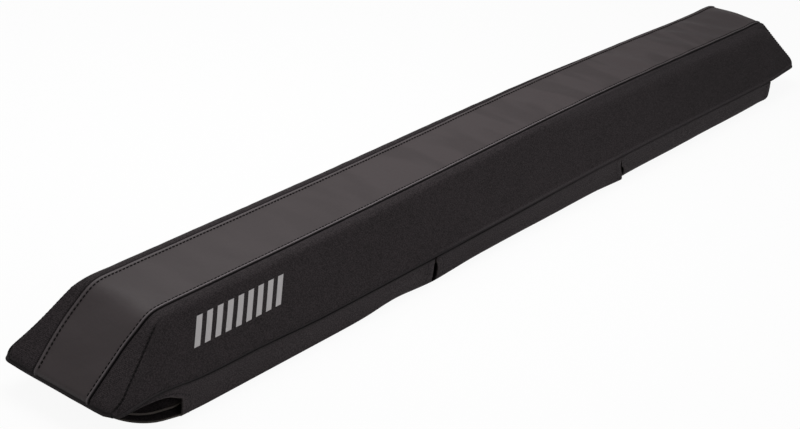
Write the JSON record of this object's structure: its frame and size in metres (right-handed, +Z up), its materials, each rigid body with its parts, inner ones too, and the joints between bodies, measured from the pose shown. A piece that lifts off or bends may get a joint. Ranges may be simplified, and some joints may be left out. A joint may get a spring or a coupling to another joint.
{
  "type": "roof rack pad",
  "caption": "Long foam wedge in a sewn dark cover with ramped ends, which wraps a flat load bar with hook and loop flaps.",
  "frame": {"origin": "under the middle of the pad, on the surface that the closed flaps lie on", "axes": "+X along the bar, from the front end to the rear end; +Y across it, from the near side to the far side; +Z up, from the flaps to the top panel"},
  "size_m": [0.761, 0.088, 0.0615],
  "materials": {
    "coated_cloth": "charcoal polyester with a smooth satin coating",
    "woven_cloth": "coarse black woven polyester, matt",
    "flap_cloth": "coarse black woven polyester, matt, with turned hems",
    "binding_tape": "black woven binding tape",
    "foam": "closed-cell foam, hidden in the cover",
    "hook_and_loop": "black hook and loop strip"
  },
  "bodies": {
    "root": {"foam_core": "foam", "top_panel": "coated_cloth", "side_panel_near": "woven_cloth", "side_panel_far": "woven_cloth", "base_panel": "woven_cloth", "base_binding": "binding_tape", "flap_near_front": "flap_cloth", "flap_near_middle": "flap_cloth", "flap_near_rear": "flap_cloth", "flap_far_front": "flap_cloth", "flap_far_middle": "flap_cloth", "flap_far_rear": "flap_cloth", "loop_strip_front": "hook_and_loop", "loop_strip_middle": "hook_and_loop", "loop_strip_rear": "hook_and_loop", "hook_strip_front": "hook_and_loop", "hook_strip_middle": "hook_and_loop", "hook_strip_rear": "hook_and_loop"}
  },
  "joints": []
}
